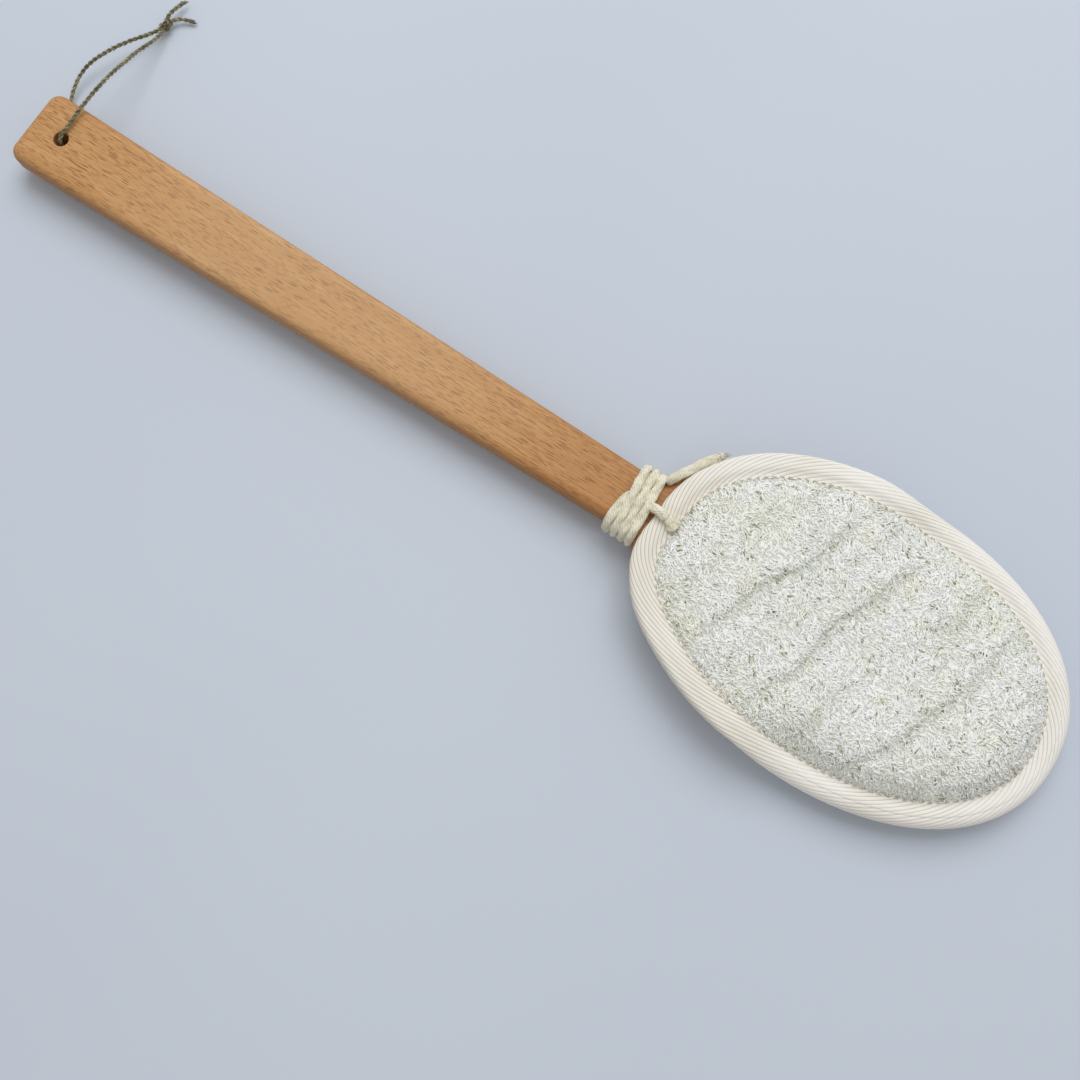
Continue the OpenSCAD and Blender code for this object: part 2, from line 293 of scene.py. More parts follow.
# The handle's middle is painted paler, as a painted sheen; the neck is deeper in colour, and the sides get
# painted shade
along = node(beech, "SeparateXYZ", wires={"Vector": place}).outputs["X"]
sheen_fade = band(beech, along, -0.06, 0.03)
painted_sheen = maths(beech, "MULTIPLY", band(beech, along, -0.19, -0.12), maths(beech, "SUBTRACT", 1, sheen_fade))
board_colour = blend_colours(beech, maths(beech, "MULTIPLY", painted_sheen, 0.25), flecked, (226, 192, 150))
# The side faces are painted darker, by the way they face: painted shade where less light reaches them
facing = node(beech, "SeparateXYZ", wires={"Vector": node(beech, "TexCoord").outputs["Normal"]}).outputs["Z"]
on_top = band(beech, maths(beech, "ABSOLUTE", facing), 0.2, 0.9)
sides = maths(beech, "MULTIPLY", maths(beech, "SUBTRACT", 1, on_top), 0.5)
board_colour = blend_colours(beech, sides, board_colour, (150, 94, 44))
deeper = maths(beech, "MULTIPLY", band(beech, along, -0.03, 0.05), 0.4)
board_colour = blend_colours(beech, deeper, board_colour, (164, 108, 54))
finish_material(beech, board_colour, maths(beech, "SUBTRACT", grain(0.22, 5), all_flecks), 0.06 * MM, 0.6)
board.data.materials.append(beech)
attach(board, "board")
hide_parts("handle")


# ---- Back panel -----------------------------------------------------------------------------------
# Cotton terry, cut to the pad's oval, that lies under the paddle; its looped pile faces down.
# It rises to the shared rim round the far part, and lies flat and open at the mouth.
pad_mid = (rim_lo.x + rim_hi.x) / 2
pad_a = (rim_hi.x - rim_lo.x) / 2
pad_b = (rim_hi.y - rim_lo.y) / 2
fullness = 2.15
rim_h = 7.6 * MM
lip_h = 3.2 * MM
terry_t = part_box("mouth_binding")[1].z
loofah_t = 6 * MM
loofah_z1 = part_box("loofah_panel")[1].z
loofah_z0 = loofah_z1 - loofah_t
core_inset = 26 * MM

# Angles, in degrees from the far end, between which the seam opens on each side of the pad
seam_start, seam_end = 84, 105

# On one side of the mouth the outline bulges by cheek, between two angles, and less and less further in
cheek = 3 * MM
cheek_w = 22 * MM
cheek_from, cheek_ease_in = 177, 24
cheek_to, cheek_ease_out = 236, 26
rng = np.random.default_rng(9)


def eased(share):
    """A share from 0 to 1 that starts and ends gently."""
    share = np.clip(share, 0, 1)
    return share * share * (3 - 2 * share)


def oval(angles):
    """Points of the pad's outline at angles round it, in degrees."""
    c, s = np.cos(np.radians(angles)), np.sin(np.radians(angles))
    return np.stack([pad_mid + pad_a * np.sign(c) * np.abs(c) ** (2 / fullness),
                     pad_b * np.sign(s) * np.abs(s) ** (2 / fullness)], -1)


def inset_points(angles, inset, height):
    """Points inside the pad's outline, by inset and height."""
    run = oval(angles + 1) - oval(angles - 1)
    inward = np.stack([-run[..., 1], run[..., 0]], -1)
    inward /= np.linalg.norm(inward, axis=-1, keepdims=True)
    flat = oval(angles) + inward * np.asarray(inset)[..., None]
    turn = np.asarray(angles) % 360
    slack = cheek * eased((turn - cheek_from) / cheek_ease_in) * eased((cheek_to - turn) / cheek_ease_out)
    flat[..., 0] -= slack * eased(1.2 - np.asarray(inset) / cheek_w)
    return np.concatenate([flat, np.broadcast_to(height, flat.shape[:-1])[..., None]], -1)


def opening(angles):
    """0 where both panels share one rim, 1 where the seam is open at the mouth."""
    turn = np.abs((np.asarray(angles) + 180) % 360 - 180)
    return eased((turn - seam_start) / (seam_end - seam_start))


def mix(a, b, share):
    """A value between two others, by a share from 0 to 1."""
    return a + (b - a) * share


def new_piece(name, points, faces, material, uv=None, tone=None):
    """A smooth mesh object from points and faces, with an optional UV per corner and tone per point."""
    mesh = bpy.data.meshes.new(name)
    places = [tuple(p) for p in np.asarray(points, float)]
    mesh.from_pydata(places, [], [tuple(int(i) for i in f) for f in faces])
    if uv is not None:
        layer = mesh.uv_layers.new(name="surface")
        layer.data.foreach_set("uv", np.asarray(uv, np.float32).ravel())
    if tone is not None:
        attribute = mesh.attributes.new("tone", "FLOAT", "POINT")
        attribute.data.foreach_set("value", np.asarray(tone, np.float32))
    mesh.polygons.foreach_set("use_smooth", [True] * len(mesh.polygons))
    mesh.materials.append(material)
    mesh.validate()
    piece = bpy.data.objects.new(name, mesh)
    bpy.context.scene.collection.objects.link(piece)
    return piece


def grid_faces(rows, columns, rows_closed, columns_closed):
    """Faces of a grid of points, and the row and column of each of their corners."""
    r = np.arange(rows if rows_closed else rows - 1)
    c = np.arange(columns if columns_closed else columns - 1)
    row, column = (a.ravel() for a in np.meshgrid(r, c, indexing="ij"))
    corner_rows = np.stack([row, row, row + 1, row + 1], -1)
    corner_columns = np.stack([column, column + 1, column + 1, column], -1)
    return (corner_rows % rows) * columns + corner_columns % columns, corner_rows, corner_columns


def disc(name, rings, material):
    """A closed panel from rings, from its underside's middle, round its edge, to its top's middle."""
    count = rings.shape[1]
    quads, _, _ = grid_faces(len(rings), count, False, True)
    low_pole, high_pole = len(rings) * count, len(rings) * count + 1
    top = (len(rings) - 1) * count
    faces = [list(q) for q in quads]
    faces += [[(j + 1) % count, j, low_pole] for j in range(count)]
    faces += [[top + j, top + (j + 1) % count, high_pole] for j in range(count)]
    points = np.concatenate([rings.reshape(-1, 3), [rings[0].mean(0)], [rings[-1].mean(0)]])
    return new_piece(name, points, faces, material)


def curls(centres, headings, lengths, bends, rises, sinks, radii, up, sides=4):
    """Short curved fibres, each a thin closed tube that rises in an arch from the surface.
    Gives their points, their faces and the fibre that each point belongs to."""
    count = len(centres)
    places = np.array([-1, -0.5, 0, 0.5, 1])
    turned = headings[:, None] + bends[:, None] * places / 2
    along = lengths[:, None] / 2 * places
    line = np.zeros((count, 5, 3))
    line[..., 0] = centres[:, None, 0] + along * np.cos(turned)
    line[..., 1] = centres[:, None, 1] + along * np.sin(turned)
    arch = rises[:, None] * (1 - places ** 2) - sinks[:, None] * places ** 2
    line[..., 2] = centres[:, None, 2] + up * arch
    run = line[:, 2:] - line[:, :-2]
    run /= np.linalg.norm(run, axis=-1, keepdims=True)
    side = np.cross(run, [0, 0, 1.0])
    side /= np.linalg.norm(side, axis=-1, keepdims=True)
    lift = np.cross(side, run)
    points = np.zeros((count, 3 * sides + 2, 3))
    points[:, 0] = line[:, 0]
    points[:, -1] = line[:, -1]
    for k in range(sides):
        turn = -2 * math.pi * k / sides
        reach = math.cos(turn) * side + math.sin(turn) * lift
        points[:, 1 + k:1 + 3 * sides:sides] = line[:, 1:4] + reach * radii[:, None, None]
    faces = []
    for k in range(sides):
        after = (k + 1) % sides
        faces.append([0, 1 + after, 1 + k])
        for ring in (0, 1):
            low, high = 1 + ring * sides, 1 + (ring + 1) * sides
            faces.append([low + k, low + after, high + after, high + k])
        last = 1 + 2 * sides
        faces.append([3 * sides + 1, last + k, last + after])
    start = np.arange(count)[:, None] * points.shape[1]
    solid = []
    for face in faces:
        solid += (start + np.array(face)).tolist()
    return points.reshape(-1, 3), solid, np.repeat(np.arange(count), points.shape[1])


def noise(material, scale, detail=2):
    """Cloudy noise that keeps its place on a piece, with about this many clouds to a metre."""
    place = node(material, "TexCoord").outputs["Object"]
    made = node(material, "TexNoise", wires={"Vector": place}, values={"Scale": scale, "Detail": detail})
    return made.outputs["Fac"]


terry = new_material("cotton_terry", (226, 221, 206), 0.95, Specular_IOR_Level=0.2, Sheen_Weight=0.25)
tones = node(terry, "Attribute", attribute_name="tone").outputs["Fac"]
slow = noise(terry, 60, 3)
yarn = noise(terry, 3500)
terry_colour = blend_colours(terry, tones, (214, 207, 188), (240, 236, 224))
terry_colour = blend_colours(terry, maths(terry, "MULTIPLY", slow, 0.35), terry_colour, (220, 214, 196))
finish_material(terry, terry_colour, yarn, 0.1 * MM, 0.7)

angles = np.arange(0, 360, 1.5)
open_part = opening(angles)
rim_z0 = board_mid - rim_h / 2
terry_low = mix(rim_z0 + 0.8 * MM, 0.9 * MM, open_part)
terry_high = mix(board_mid - 0.1 * MM, terry_t - 0.8 * MM, open_part)


def core_ring(angles, share, height):
    """The pad's inner oval, drawn in towards its middle."""
    core = inset_points(angles, core_inset, height)
    core[:, 0] = pad_mid + (core[:, 0] - pad_mid) * share
    core[:, 1] *= share
    return core


floor_z = 1 * MM
rings = [core_ring(angles, share, floor_z) for share in (0.1, 0.4, 0.7, 1)]
rings += [inset_points(angles, i * MM, floor_z) for i in (20, 15)]
rings += [inset_points(angles, 10.5 * MM, mix(rim_z0 + 1.2 * MM, floor_z, open_part)),
          inset_points(angles, 9.2 * MM, terry_low),
          inset_points(angles, 6 * MM, terry_low),
          inset_points(angles, 4 * MM, (terry_low + terry_high) / 2),
          inset_points(angles, 6 * MM, terry_high),
          inset_points(angles, 9.2 * MM, terry_high),
          inset_points(angles, 11.7 * MM, terry_t),
          inset_points(angles, 20 * MM, terry_t)]
rings += [core_ring(angles, share, terry_t) for share in (1, 0.7, 0.4, 0.1)]
back = disc("terry_panel", np.array(rings), terry)
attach(back, "cover")
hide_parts("back_panel")


def rim_distance(points):
    """How far points lie inside the pad's outline, and the angle of the outline beside each."""
    around = np.arange(0, 360, 1.0)
    outline = inset_points(around, 0, 0)[:, :2]
    gaps = np.linalg.norm(points[:, None, :2] - outline[None], axis=-1)
    nearest = gaps.argmin(1)
    x, y = np.abs(points[:, 0] - pad_mid) / pad_a, np.abs(points[:, 1]) / pad_b
    inside = x ** fullness + y ** fullness < 1
    return np.where(inside, gaps.min(1), -gaps.min(1)), around[nearest]


# The pile: rows of uncut loops, pressed a little this way and that
pile_pitch = 1.55 * MM
pile_lift = 0.35 * MM
across = np.arange(pad_mid - pad_a, pad_mid + pad_a, pile_pitch)
down = np.arange(-pad_b, pad_b, pile_pitch)
grid = np.stack(np.meshgrid(across, down, indexing="ij"), -1).reshape(-1, 2)
grid += rng.normal(0, 0.28 * MM, grid.shape)
depth, beside = rim_distance(grid)
kept = depth > 9.4 * MM
grid, depth, beside = grid[kept], depth[kept], beside[kept]
rise_in = np.clip((15 * MM - depth) / (4.5 * MM), 0, 1)
pile_z = mix(floor_z, mix(rim_z0 + 1.2 * MM, floor_z, opening(beside)), rise_in) + pile_lift
count = len(grid)
pile_points, pile_faces, owner = curls(
    np.column_stack([grid, pile_z]), rng.uniform(0, math.pi, count), rng.uniform(2.2, 3.0, count) * MM,
    rng.uniform(-2.4, 2.4, count), rng.uniform(0.7, 0.95, count) * MM, np.full(count, 0.5 * MM),
    rng.uniform(0.3, 0.4, count) * MM, -1)
pile = new_piece("terry_pile", pile_points, pile_faces, terry, tone=rng.uniform(0, 1, count)[owner])
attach(pile, "cover")


# ---- Loofah panel ---------------------------------------------------------------------------------
# A slab of bleached loofah gourd, pressed flat and arched over the paddle, with soft creases across it.
# The body of the slab lies under a mat of short curved fibres; its edge is held in the binding.
loofah = new_material("bleached_loofah", (226, 230, 222), 0.6, Specular_IOR_Level=0.35, Sheen_Weight=0.1)
tones = node(loofah, "Attribute", attribute_name="tone").outputs["Fac"]
warm_share = band(loofah, noise(loofah, 90), 0.5, 0.78)
patch_share = band(loofah, noise(loofah, 38), 0.45, 0.7)
# Low tones are painted shade: the darkest stop colours fibres painted as shade in the mat's gaps, and low
# tones the lower fibres and creases
fibre_colour = ramp(loofah, tones, [(0, (160, 158, 122)), (0.05, (226, 228, 217)), (0.3, (243, 245, 240)),
                                    (0.6, (255, 255, 255))])
fibre_colour = blend_colours(loofah, warm_share, fibre_colour, (254, 252, 244), "MULTIPLY")
fibre_colour = blend_colours(loofah, patch_share, fibre_colour, (253, 253, 248), "MULTIPLY")
finish_material(loofah, fibre_colour)

loofah_bed = new_material("loofah_bed", (176, 178, 152), 0.8, Specular_IOR_Level=0.2)
# The bed's dark spots are painted shade, where holes in the mat go deep; the rest is the bed's pale colour
bed_colour_and_hole_shade = ramp(loofah_bed, noise(loofah_bed, 260, 3),
                  [(0.3, (112, 112, 74)), (0.37, (235, 237, 226)), (0.7, (247, 249, 246))])
where = node(loofah_bed, "TexCoord").outputs["Object"]
mesh_holes = node(loofah_bed, "TexVoronoi", wires={"Vector": where}, values={"Scale": 900})
finish_material(loofah_bed, bed_colour_and_hole_shade, mesh_holes.outputs["Distance"], 0.4 * MM, 0.8)

# Creases run across the pad; each has a place along the pad, a depth and a width, in mm
crease_lean = math.radians(69)
creases = [(61, 0.5, 2.6), (78, 0.7, 2.4), (95, 1.1, 2.2), (107, 0.5, 2.4), (119.5, 1.2, 2.0),
           (138, 0.8, 2.6), (158, 1.1, 2.2), (175, 0.7, 2.6), (192, 0.5, 2.4)]


def crease_drop(points):
    """How far the creases lower the surface at points."""
    u = (points[:, 0] * math.sin(crease_lean) - points[:, 1] * math.cos(crease_lean)) / MM
    v = (points[:, 0] * math.cos(crease_lean) + points[:, 1] * math.sin(crease_lean)) / MM
    drop = np.zeros(len(points))
    for k, (middle, deep, wide) in enumerate(creases):
        wander = 1.6 * np.sin(v / 13 + 1.7 * k) + 0.8 * np.sin(v / 5.1 + 2.3 * k)
        strength = 0.7 + 0.3 * np.sin(v / 17 + 2.9 * k)
        drop += 1.35 * deep * strength * np.exp(-((u - middle - wander) / wide) ** 2)
    swell = 0.35 * np.sin(u / 6.1 + 0.6 * np.sin(v / 11)) * np.sin(v / 9 + u / 23)
    return (drop - swell) * MM


def loofah_height(points):
    """Height of the slab's upper face at points, and the points' distance inside the outline."""
    depth, beside = rim_distance(points)
    part = opening(beside)
    tape_top = mix(rim_z0 + rim_h, loofah_z0 + lip_h, part)
    knots = np.array([7, 9.2, 11, 15, 19, 24]) * MM
    crown = mix(2.2 * MM, 1.0 * MM, part)
    levels = np.stack([tape_top - 1.1 * MM, tape_top - 0.5 * MM, mix(tape_top, loofah_z1 - crown, 0.38),
                       loofah_z1 - crown, loofah_z1 - 0.3 * crown, np.full(len(points), loofah_z1)])
    height = np.zeros(len(points))
    for k in range(len(points)):
        height[k] = np.interp(depth[k], knots, levels[:, k])
    return height - 0.5 * MM - crease_drop(points) * eased((depth - 9 * MM) / (8 * MM)), depth, beside


angles = np.arange(0, 360, 1.0)
open_part = opening(angles)
low = mix(board_mid + 0.1 * MM, loofah_z0 + 0.8 * MM, open_part)
rings = [core_ring(angles, share, loofah_z0) for share in (0.1, 0.4, 0.7, 1)]
rings += [inset_points(angles, i * MM, loofah_z0) for i in (20, 11.7)]
rings += [inset_points(angles, 9.2 * MM, low), inset_points(angles, 5 * MM, low)]
for inset in (5, 7, 9.2, 10, 11, 12, 13, 14, 15, 16.5, 18, 19.5, 21, 22.5, 24):
    ring = inset_points(angles, inset * MM, 0)
    ring[:, 2] = loofah_height(ring)[0]
    if inset == 5:
        ring[:, 2] = (ring[:, 2] + low) / 2
    rings.append(ring)
for share in np.linspace(1, 0.04, 25):
    ring = core_ring(angles, share, 0)
    ring[:, 2] = loofah_height(ring)[0]
    rings.append(ring)
slab = disc("loofah_slab", np.array(rings), loofah_bed)
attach(slab, "cover")
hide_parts("loofah_panel")

fibre_total = 24000
fibre_groups = 3
spread = rng.uniform([pad_mid - pad_a, -pad_b], [pad_mid + pad_a, pad_b], (3 * fibre_total, 2))
height, depth, beside = loofah_height(spread)
kept = np.flatnonzero(depth > 8.9 * MM)[:fibre_total]
spread, height, depth = spread[kept], height[kept], depth[kept]
x, y = spread[:, 0] / MM, spread[:, 1] / MM
tufts = (np.sin(x / 3.1 + 1.3 * np.sin(y / 4.3)) + np.sin(y / 2.6 + 1.1 * np.sin(x / 4.1) + 1)
         + 0.8 * np.sin((x + y) / 1.7 + 2))
fibre_heading = math.radians(-21) + 0.5 * tufts + rng.normal(0, 0.75, len(spread))
layer = rng.uniform(0, 1, len(spread))
# Lower fibres are painted darker than upper ones, as painted shade under the mat; the tone also differs at
# random
fibre_tone_and_shade = np.clip(0.12 + 0.75 * layer + rng.normal(0, 0.16, len(spread)), 0, 1)
# Fibres in the creases are painted darker, as painted shade
fibre_tone_and_shade = np.maximum(fibre_tone_and_shade - 0.35 * np.clip(crease_drop(spread) / MM, 0, 1), 0.06)
# A few fibres are painted dark olive, as painted shade in the gaps of the mat
fibre_tone_and_shade[rng.uniform(0, 1, len(spread)) < 0.025] = 0
lengths = rng.uniform(1.8, 3.8, len(spread)) * MM
base = np.column_stack([spread, height + (0.02 + 0.25 * layer) * MM])
for group in range(fibre_groups):
    part = np.arange(group, len(spread), fibre_groups)
    points, faces, owner = curls(
        base[part], fibre_heading[part], lengths[part], rng.uniform(-1.3, 1.3, len(part)),
        rng.uniform(0.08, 0.25, len(part)) * MM, rng.uniform(0.2, 0.4, len(part)) * MM,
        rng.uniform(0.15, 0.23, len(part)) * MM, 1)
    fibres = new_piece(f"loofah_fibres_{group + 1}", points, faces, loofah, tone=fibre_tone_and_shade[part][owner])
    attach(fibres, "cover")


# ---- Binding --------------------------------------------------------------------------------------
# Cotton twill tape, folded over the edges of both panels and sewn down; its ribs slant along the rim.
# One length goes right round the loofah side; a second binds the terry panel's bare edge at the mouth.
twill = new_material("twill_tape", (243, 240, 232), 0.85, Specular_IOR_Level=0.25, Sheen_Weight=0.15)
surface = node(twill, "UVMap", uv_map="surface").outputs["UV"]
parts = node(twill, "SeparateXYZ", wires={"Vector": surface}).outputs
rib_place = maths(twill, "FRACT", parts["Y"])
groove = maths(twill, "ABSOLUTE", maths(twill, "SUBTRACT", rib_place, 0.5))
groove_mask = band(twill, groove, 0.3, 0.48)
threads = maths(twill, "SINE", maths(twill, "MULTIPLY", parts["X"], 2 * math.pi))
fluff = noise(twill, 1800)
stains_and_groove_shade = noise(twill, 25)
tape_colour = blend_colours(twill, band(twill, stains_and_groove_shade, 0.4, 0.7), (247, 244, 238), (239, 234, 222))
# The grooves between the ribs are painted darker, as painted shade, more strongly in some patches than in
# others
groove_shade_boost = maths(twill, "MULTIPLY", band(twill, stains_and_groove_shade, 0.35, 0.62), 0.35)
groove_shade_share = maths(twill, "MULTIPLY", groove_mask, maths(twill, "ADD", groove_shade_boost, 0.42))
tape_colour = blend_colours(twill, groove_shade_share, tape_colour, (180, 171, 156))
weave = maths(twill, "ADD", maths(twill, "MULTIPLY", threads, 0.25), fluff)
finish_material(twill, tape_colour, weave, 0.12 * MM, 0.8)

# The tape's section, in mm: its folded edge is deep where it holds both panels, and flatter at the mouth
tape_w = 9
tape_t = 0.7
nose_full = 3.9
nose_flat = 1.9
flat_steps = 60
nose_steps = 90
rib_pitch = 1.3
rib_angle = math.radians(17)
rib_height = 0.17
thread_pitch = 0.45
stitch_pitch = 2.8
pucker_h = 0.12
pucker_from = 7.5
join_step = 0.3
join_slant = 0.35
join_from = 176.5
join_to = 187


def distances(line):
    """How far along a line each of its points lies."""
    return np.concatenate([[0], np.cumsum(np.linalg.norm(np.diff(line, axis=0), axis=1))])


def tape_section(top, bottom, open_share, count):
    """The folded tape's outer face at one station: inset and height of its points, and their run, in mm."""
    tall = (top - bottom) / 2
    nose = mix(nose_full, nose_flat, open_share)
    flat = np.linspace(tape_w, nose, flat_steps)
    turn = np.radians(np.linspace(90, -90, nose_steps))
    dip = 0.55 * eased((flat - 5.2) / 2.6)
    crown = 0.25 * np.exp(-((flat - 4.6) / 1.4) ** 2)
    upper = np.column_stack([flat, top - dip + crown])
    curve = np.column_stack([nose * (1 - np.cos(turn)), (top + bottom) / 2 + tall * np.sin(turn)])
    lower = np.column_stack([flat[::-1], bottom + dip[::-1]])
    line = np.concatenate([upper, curve[1:-1], lower])
    run = distances(line)
    wanted = np.linspace(0, run[-1], count)
    even = np.column_stack([np.interp(wanted, run, line[:, 0]), np.interp(wanted, run, line[:, 1])])
    return even, wanted - run[flat_steps + nose_steps // 2 - 1]


def folded_tape(name, angles, tops, bottoms, shares, looped, count, join=None, tuck=0):
    """A twill tape folded over an edge, with its ribs raised, swept round the outline."""
    outline = oval(angles)
    run = distances(outline) / MM
    total = run[-1] + (np.linalg.norm(outline[0] - outline[-1]) / MM if looped else 0)
    ribs = round(total * math.sin(rib_angle) / rib_pitch)
    threads_round = round(total / thread_pitch)
    inner_count = 8
    inner_share = np.linspace(0, 1, inner_count)
    rim_fade = np.minimum(1, np.minimum(np.arange(count), np.arange(count)[::-1]) / 5)
    rows = []
    phases = []
    for k, angle in enumerate(angles):
        line, v = tape_section(tops[k] / MM, bottoms[k] / MM, shares[k], count)
        phase = v * math.cos(rib_angle) / rib_pitch + ribs * run[k] / total
        along = np.gradient(line, axis=0)
        normal = np.column_stack([along[:, 1], -along[:, 0]])
        normal /= np.linalg.norm(normal, axis=1, keepdims=True)
        bump = (np.abs(np.cos(math.pi * phase)) ** 0.6 - 0.5) * rim_fade * rib_height
        pucker = math.sin(2 * math.pi * run[k] / stitch_pitch)
        bump += pucker_h * pucker * rim_fade * (line[:, 0] > pucker_from)
        if join is not None:
            bump += join_step * join(angle + line[:, 0] * join_slant)
        out = line - normal * bump[:, None]
        floor = bottoms[k] / MM + tape_t
        roof = tops[k] / MM - tape_t
        lining = np.interp(inner_share, [0, 0.25, 0.75, 1], [floor + 0.5, floor, roof, roof - 0.5])
        inside = np.column_stack([np.interp(inner_share, [0, 0.5, 1], [tape_w, 2.9, tape_w]), lining])
        section = np.concatenate([out, inside])
        set_back = tuck if np.isscalar(tuck) else tuck[k]
        rows.append(inset_points(np.full(len(section), float(angle)), section[:, 0] * MM + set_back,
                                 section[:, 1] * MM))
        phases.append(np.concatenate([phase, np.full(inner_count, phase[-1])]))
    rows, phases = np.array(rows), np.array(phases)
    size = rows.shape[1]
    faces, corner_rows, corner_columns = grid_faces(len(rows), size, looped, True)
    run_full = np.append(run, total) * threads_round / total
    u = run_full[corner_rows]
    columns = np.minimum(corner_columns, size - 1)
    v = phases[corner_rows % len(rows), columns] + (corner_rows == len(rows)) * ribs
    faces = faces.tolist()
    uv = np.stack([u, v], -1).reshape(-1, 2)
    if not looped:
        faces += [list(range(size))[::-1], [(len(rows) - 1) * size + j for j in range(size)]]
        uv = np.concatenate([uv, np.zeros((2 * size, 2))])
    return new_piece(name, rows.reshape(-1, 3), faces, twill, uv=uv)


def tape_join(angle):
    """1 where the tape's end overlaps its start, under the stopper knot."""
    return eased((angle - join_from) / 3) * eased((join_to - angle) / 5)


angles = np.arange(0, 360, 0.5)
shares = opening(angles)
tape = folded_tape("binding_tape", angles, mix(rim_z0 + rim_h, loofah_z0 + lip_h, shares),
                   mix(rim_z0, loofah_z0, shares), shares, True, 96, tape_join)
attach(tape, "cover")
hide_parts("edge_binding")

# The mouth's tape lies a little further in than the rim, and its two ends are tucked under the longer tape
tuck_in = 1.2
tuck_at_end = 3.4
tuck_angle = 18
mouth_from, mouth_to = 86, 274
angles = np.arange(mouth_from, mouth_to + 0.1, 0.5)
shares = opening(angles)
from_end = np.minimum(angles - angles[0], angles[-1] - angles)
tucked = (tuck_in + tuck_at_end * eased((tuck_angle - from_end) / tuck_angle)) * MM
mouth_tape = folded_tape("mouth_tape", angles, mix(board_mid, terry_t, shares),
                         mix(rim_z0, 0.5 * MM, shares), shares, False, 80, tuck=tucked)
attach(mouth_tape, "cover")
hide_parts("mouth_binding")


# ---- Stitching ------------------------------------------------------------------------------------
# Olive cotton thread in a lockstitch that holds the tape down, one row on each face of the pad.
# Each stitch is a short length that dips at both ends, where it goes through the cloth.
thread = new_material("olive_thread", (158, 148, 114), 0.8, Specular_IOR_Level=0.3, Sheen_Weight=0.2)
twist = noise(thread, 2500)
thread_colour = ramp(thread, twist, [(0.35, (180, 171, 142)), (0.65, (220, 213, 190))])
finish_material(thread, thread_colour, twist, 0.08 * MM, 0.8)
stitch_l = 2.3 * MM
stitch_r = 0.18 * MM
stitch_rise = 0.18 * MM
stitch_dip = 0.35 * MM
stitch_inset = 8.5 * MM
round_trip = np.arange(0, 360, 0.25)
seam = inset_points(round_trip, np.full(len(round_trip), stitch_inset), 0)[:, :2]
seam_run = distances(seam) / MM
stitch_count = round(seam_run[-1] / stitch_pitch)
stitch_angles = np.interp((np.arange(stitch_count) + 0.5) * seam_run[-1] / stitch_count, seam_run, round_trip)


def stitches(name, heights, up):
    """One row of stitches at a height for each angle, facing up or down."""
    here = inset_points(stitch_angles, np.full(stitch_count, stitch_inset), heights)
    after = inset_points(stitch_angles + 0.5, np.full(stitch_count, stitch_inset), heights)
    heading = np.arctan2(after[:, 1] - here[:, 1], after[:, 0] - here[:, 0])
    flat = np.ones(stitch_count)
    points, faces, _ = curls(here, heading + rng.normal(0, 0.1, stitch_count), stitch_l * flat, 0 * flat,
                             stitch_rise * flat, stitch_dip * flat, stitch_r * flat, up, sides=6)
    return new_piece(name, points, faces, thread)


stitch_open = opening(stitch_angles)
front_row = stitches("front_stitches", mix(rim_z0 + rim_h, loofah_z0 + lip_h, stitch_open) - 0.5 * MM, 1)
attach(front_row, "cover")
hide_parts("front_stitching")
back_row = stitches("back_stitches", mix(rim_z0, 0.5 * MM, stitch_open) + 0.5 * MM, -1)
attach(back_row, "cover")
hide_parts("back_stitching")


# ---- Tie ------------------------------------------------------------------------------------------
# A soft cotton cord, sewn to the pad's mouth in a stopper knot. It runs under its own turns,
# is wound round the neck from left to right, and ends in a brushed-out tail over the shoulder.
def smooth_route(points, spacing):
    """A smooth curve through points, with its own points spaced evenly."""
    p = np.array(points, float)
    p = np.concatenate([[2 * p[0] - p[1]], p, [2 * p[-1] - p[-2]]])
    t = np.linspace(0, 1, 12, endpoint=False)[:, None]
    line = []
    for a, b, c, d in zip(p, p[1:], p[2:], p[3:]):
        bend = (2 * a - 5 * b + 4 * c - d) * t ** 2 + (3 * b - a - 3 * c + d) * t ** 3
        line.append(0.5 * (2 * b + (c - a) * t + bend))
    line = np.concatenate(line + [p[-2:-1]])
    run = distances(line)
    wanted = np.linspace(0, run[-1], max(8, round(run[-1] / spacing)))
    return np.column_stack([np.interp(wanted, run, line[:, k]) for k in range(3)])


def frames_along(line, looped=False):
    """Two directions across a line that don't twist along it."""
    if looped:
        tangent = np.roll(line, -1, 0) - np.roll(line, 1, 0)
    else:
        tangent = np.gradient(line, axis=0)
    tangent /= np.linalg.norm(tangent, axis=1, keepdims=True)
    side = np.zeros_like(line)
    first = np.cross(tangent[0], [0.2, 0.1, 1.0])
    for k, t in enumerate(tangent):
        first = first - t * first.dot(t)
        first /= np.linalg.norm(first)
        side[k] = first
    return side, np.cross(tangent, side)


hair_corners = 24
stray_r = 0.045
brush_r = 0.18


def hair_mesh(hairs, start):
    """Points and faces of thin tapering hairs, each given by its root, middle, tip and radius in mm."""
    points, faces = [], []
    thirds = (0, 2 * math.pi / 3, 4 * math.pi / 3)
    for root, middle, tip, thick in hairs:
        way = tip - root
        a = np.cross(way, [0.3, 0.5, 0.8])
        a /= np.linalg.norm(a)
        b = np.cross(way, a)
        b /= np.linalg.norm(b)
        reach = [(math.cos(t) * a + math.sin(t) * b) * thick * MM for t in thirds]
        points += [root + r for r in reach] + [middle + r for r in reach] + [tip]
        s = start
        faces += [[s + 2, s + 1, s], [s, s + 1, s + 4, s + 3], [s + 1, s + 2, s + 5, s + 4],
                  [s + 2, s, s + 3, s + 5], [s + 3, s + 4, s + 6], [s + 4, s + 5, s + 6],
                  [s + 5, s + 3, s + 6]]
        start += 7
    return np.array(points), faces


